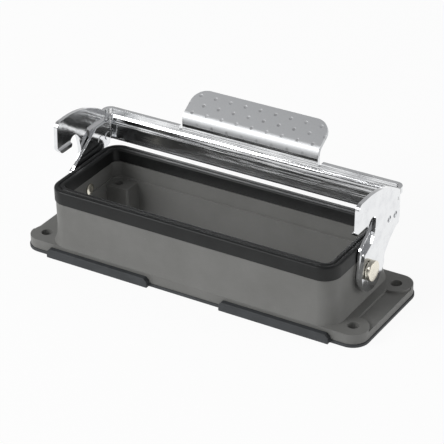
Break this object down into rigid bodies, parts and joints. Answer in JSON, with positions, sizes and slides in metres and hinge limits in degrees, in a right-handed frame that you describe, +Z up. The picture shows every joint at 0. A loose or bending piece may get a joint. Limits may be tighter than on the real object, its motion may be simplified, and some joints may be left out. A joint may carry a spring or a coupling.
{
  "type": "heavy duty rectangular connector housing",
  "caption": "Panel base housing of a heavy duty rectangular connector: a grey open box on a flange with rubber seals and a sheet steel locking lever with a grip tab.",
  "frame": {"origin": "centre of the four panel fixing holes, on the underside of the flange gasket", "axes": "+X along the housing's long side, +Y towards the lever's bar, +Z up from the panel to the open rim"},
  "size_m": [0.1428, 0.0595, 0.0521],
  "materials": {
    "grey_powder_coat": "fine textured powder coat on die-cast metal, satin",
    "seal_rubber": "moulded black rubber, satin",
    "gasket_rubber": "moulded dark grey rubber, satin",
    "plated_steel": "bright zinc plated sheet steel, smooth, with a matt grip tab",
    "pin_steel": "plated steel pin with a warm satin head"
  },
  "bodies": {
    "base": {"housing": "grey_powder_coat", "rim_seal": "seal_rubber", "flange_gasket": "gasket_rubber", "pivot_pin_left": "pin_steel", "pivot_pin_right": "pin_steel"},
    "lever": {"lever": "plated_steel", "pivot_plate_left": "plated_steel", "pivot_plate_right": "plated_steel"}
  },
  "joints": [
    {"name": "lever_hinge", "type": "hinge", "parent": "base", "child": "lever", "pos_m": [0, 0, 0.0182], "axis": [1, 0, 0], "range_deg": [-50, 95]}
  ]
}
